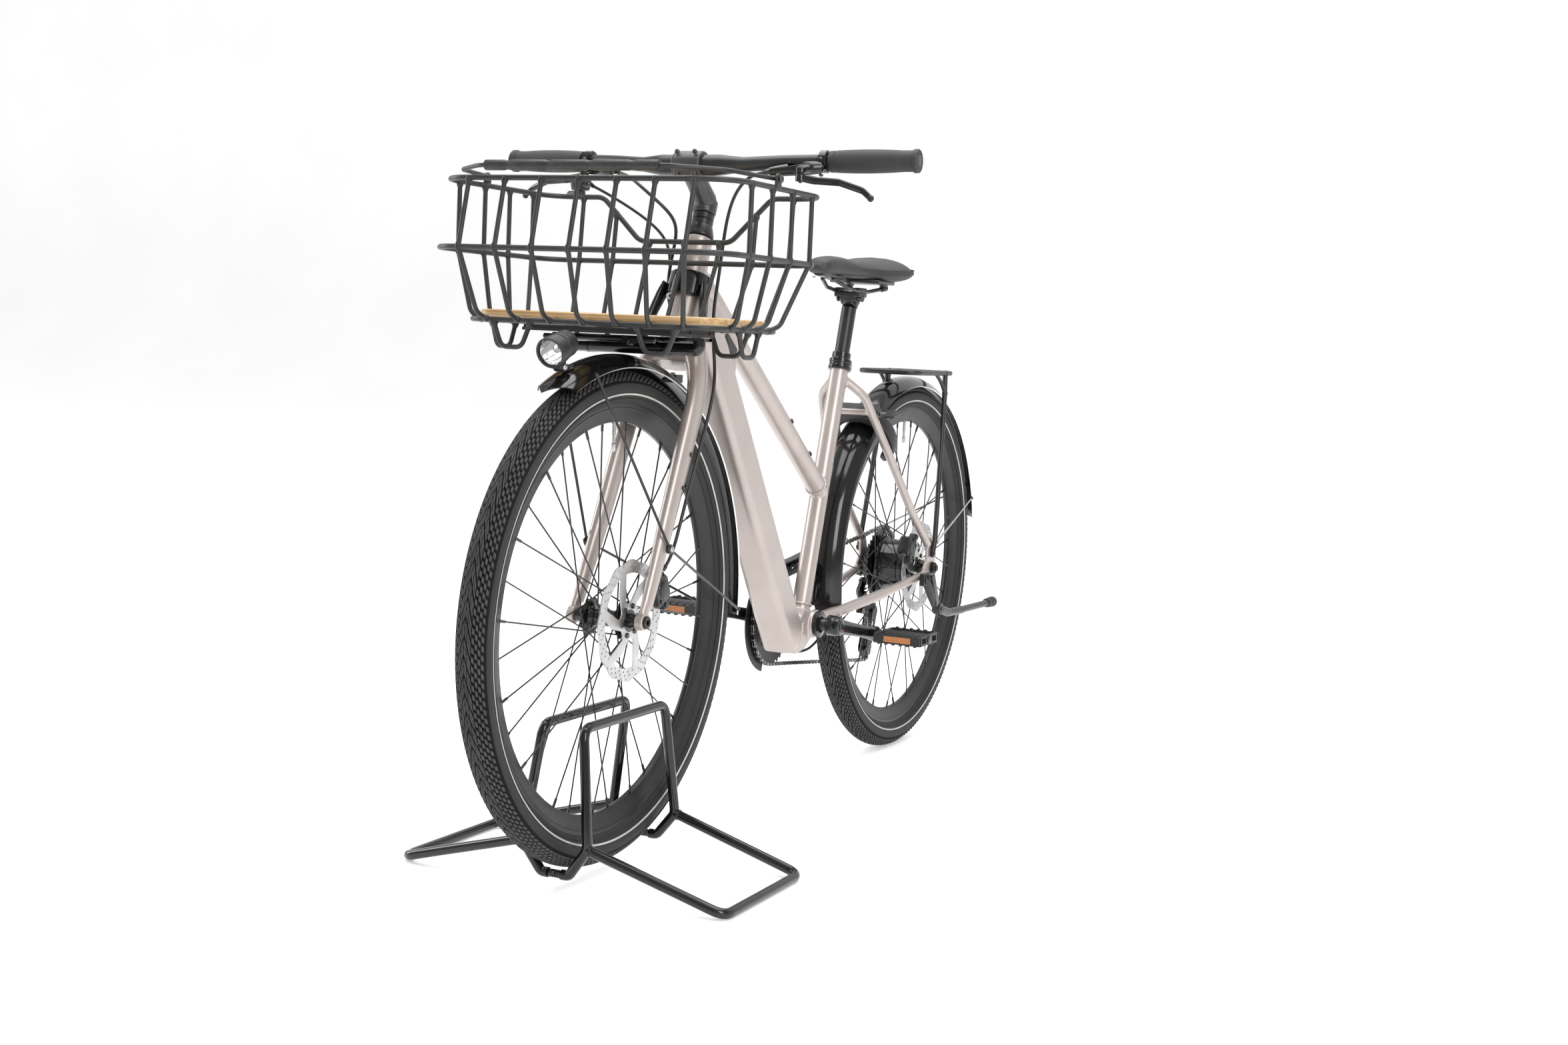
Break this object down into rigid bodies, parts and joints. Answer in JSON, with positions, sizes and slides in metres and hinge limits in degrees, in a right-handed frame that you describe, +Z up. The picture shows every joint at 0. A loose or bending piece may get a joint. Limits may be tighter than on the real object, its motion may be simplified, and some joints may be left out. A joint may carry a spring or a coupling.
{
  "type": "bicycle on stand",
  "caption": "Step-through electric bicycle with wire front basket, mudguards, rear rack, ring lock and folding kickstand, its front wheel held upright in a tubular floor stand.",
  "frame": {"origin": "floor level, under the middle of the whole object's bounding box", "axes": "+Z up, the bicycle faces -Y, +X is the bicycle's left-hand side"},
  "size_m": [0.7062, 1.8588, 1.0793],
  "materials": {
    "painted_metal_champagne": "satin metallic champagne paint",
    "gloss_black_paint": "gloss black paint",
    "spring_steel": "blackened spring steel",
    "satin_black_metal": "satin black powder coat",
    "satin_black_plastic": "matte moulded plastic",
    "black_alloy": "black anodised",
    "grey_alloy": "dark grey anodised",
    "bare_steel": "bare steel",
    "tyre_rubber": "black rubber",
    "soft_rubber": "textured soft rubber",
    "hose_sheath": "smooth black sheath",
    "saddle_cover": "fine-grained black synthetic cover",
    "basket_wire": "matte anthracite powder coat",
    "bamboo_board": "clear-sealed bamboo",
    "lamp_lens": "clear faceted lens"
  },
  "bodies": {
    "stand": {"stand_left_half": "gloss_black_paint", "stand_right_half": "gloss_black_paint", "stand_front_spring": "spring_steel", "stand_rear_spring": "spring_steel"},
    "frame": {"main_frame": "painted_metal_champagne", "charge_port_cover": "satin_black_plastic", "seat_clamp": "gloss_black_paint", "rear_mudguard": "gloss_black_paint", "rear_rack": "satin_black_metal", "ring_lock_body": "satin_black_plastic", "rear_brake_caliper": "satin_black_metal", "chain_guard": "satin_black_plastic", "rear_derailleur": "satin_black_metal", "chain": "bare_steel", "kickstand_bracket": "satin_black_metal", "front_carrier": "gloss_black_paint", "rear_axle": "black_alloy"},
    "lock_bolt": {"ring_lock_bolt": "bare_steel"},
    "key": {"lock_key": "bare_steel"},
    "kickstand": {"kickstand_leg": "grey_alloy"},
    "basket": {"basket_wires": "basket_wire", "basket_floor": "bamboo_board", "basket_adapter": "satin_black_plastic"},
    "bail": {"basket_bail": "basket_wire"},
    "steering": {"fork": "painted_metal_champagne", "headset_spacers": "satin_black_metal", "stem": "grey_alloy", "handlebar": "satin_black_metal", "left_grip": "soft_rubber", "right_grip": "soft_rubber", "left_brake_body": "gloss_black_paint", "right_brake_body": "gloss_black_paint", "shifter_body": "satin_black_plastic", "front_mudguard": "gloss_black_paint", "lamp_bracket": "satin_black_metal", "front_brake_caliper": "satin_black_metal", "front_brake_hose": "hose_sheath", "rear_brake_hose": "hose_sheath", "shift_cable": "hose_sheath", "front_axle": "black_alloy"},
    "lamp": {"headlight_body": "satin_black_plastic", "headlight_lens": "lamp_lens"},
    "left_lever": {"left_brake_lever": "gloss_black_paint"},
    "right_lever": {"right_brake_lever": "gloss_black_paint"},
    "gear_lever": {"shift_lever": "satin_black_plastic"},
    "front_wheel": {"front_tyre": "tyre_rubber", "front_laced_wheel": "black_alloy", "front_brake_disc": "bare_steel"},
    "rear_wheel": {"rear_tyre": "tyre_rubber", "rear_laced_wheel": "black_alloy", "rear_brake_disc": "bare_steel"},
    "sprockets": {"cassette": "bare_steel"},
    "upper_jockey": {"upper_jockey_wheel": "satin_black_plastic"},
    "lower_jockey": {"lower_jockey_wheel": "satin_black_plastic"},
    "crank": {"crankset": "black_alloy", "left_crank": "gloss_black_paint"},
    "left_pedal_body": {"left_pedal": "satin_black_plastic"},
    "right_pedal_body": {"right_pedal": "satin_black_plastic"},
    "seat": {"seatpost": "satin_black_metal", "saddle": "saddle_cover"}
  },
  "joints": [
    {"name": "bike_lift", "type": "slide", "parent": "stand", "child": "frame", "axis": [0, 0, 1], "range_m": [0, 0.3]},
    {"name": "steering_turn", "type": "hinge", "parent": "frame", "child": "steering", "pos_m": [0, -0.52611, 0.378], "axis": [0, 0.3256, 0.9455], "range_deg": [-2, 2]},
    {"name": "front_wheel_spin", "type": "hinge", "parent": "steering", "child": "front_wheel", "pos_m": [0, -0.56841, 0.378], "axis": [1, 0, 0], "continuous": true},
    {"name": "rear_wheel_spin", "type": "hinge", "parent": "frame", "child": "rear_wheel", "pos_m": [0, 0.56359, 0.361], "axis": [1, 0, 0], "continuous": true},
    {"name": "crank_spin", "type": "hinge", "parent": "frame", "child": "crank", "pos_m": [0, 0.10359, 0.297], "axis": [1, 0, 0], "continuous": true},
    {"name": "left_pedal_spin", "type": "hinge", "parent": "crank", "child": "left_pedal_body", "pos_m": [0.088, 0.27047, 0.26456], "axis": [1, 0, 0], "continuous": true},
    {"name": "right_pedal_spin", "type": "hinge", "parent": "crank", "child": "right_pedal_body", "pos_m": [-0.088, -0.06329, 0.32944], "axis": [1, 0, 0], "continuous": true},
    {"name": "sprocket_spin", "type": "hinge", "parent": "frame", "child": "sprockets", "pos_m": [0, 0.56359, 0.361], "axis": [1, 0, 0], "continuous": true},
    {"name": "upper_jockey_spin", "type": "hinge", "parent": "frame", "child": "upper_jockey", "pos_m": [-0.036, 0.52759, 0.268], "axis": [1, 0, 0], "continuous": true},
    {"name": "lower_jockey_spin", "type": "hinge", "parent": "frame", "child": "lower_jockey", "pos_m": [-0.036, 0.50359, 0.197], "axis": [1, 0, 0], "continuous": true},
    {"name": "left_brake_pull", "type": "hinge", "parent": "steering", "child": "left_lever", "pos_m": [0.186, -0.37141, 1.036], "axis": [0, 0, 1], "range_deg": [0, 15], "stiffness_Nm_per_rad": 0.6, "springref_deg": -11.46},
    {"name": "right_brake_pull", "type": "hinge", "parent": "steering", "child": "right_lever", "pos_m": [-0.186, -0.37141, 1.036], "axis": [0, 0, -1], "range_deg": [0, 15], "stiffness_Nm_per_rad": 0.6, "springref_deg": -11.46},
    {"name": "gear_lever_push", "type": "hinge", "parent": "steering", "child": "gear_lever", "pos_m": [-0.208, -0.34441, 1.013], "axis": [0, 0, 1], "range_deg": [0, 25], "stiffness_Nm_per_rad": 0.1, "springref_deg": -11.46},
    {"name": "lamp_tilt", "type": "hinge", "parent": "steering", "child": "lamp", "pos_m": [0, -0.72041, 0.741], "axis": [1, 0, 0], "range_deg": [-12, 12]},
    {"name": "kickstand_swing", "type": "hinge", "parent": "frame", "child": "kickstand", "pos_m": [0.092, 0.55959, 0.282], "axis": [-1, 0, 0], "range_deg": [0, 85]},
    {"name": "seatpost_height", "type": "slide", "parent": "frame", "child": "seat", "axis": [0, 0.272, 0.9623], "range_m": [-0.05, 0.08]},
    {"name": "basket_lift_off", "type": "slide", "parent": "frame", "child": "basket", "axis": [0, -0.5, 0.866], "range_m": [0, 0.1]},
    {"name": "basket_handle_swing", "type": "hinge", "parent": "basket", "child": "bail", "pos_m": [0, -0.55641, 1.013], "axis": [-1, 0, 0], "range_deg": [0, 95]},
    {"name": "lock_bolt_turn", "type": "hinge", "parent": "frame", "child": "lock_bolt", "pos_m": [0, 0.3534, 0.62057], "axis": [0, -0.7771, -0.6293], "range_deg": [0, 24]},
    {"name": "lock_key_turn", "type": "hinge", "parent": "frame", "child": "key", "pos_m": [0.06, 0.31564, 0.6672], "axis": [1, 0, 0], "range_deg": [0, 45]}
  ],
  "couplings": [
    {"joint": "sprocket_spin", "follows": "crank_spin", "ratio": 1.1111},
    {"joint": "upper_jockey_spin", "follows": "crank_spin", "ratio": -3.6364},
    {"joint": "lower_jockey_spin", "follows": "crank_spin", "ratio": 3.6364}
  ]
}
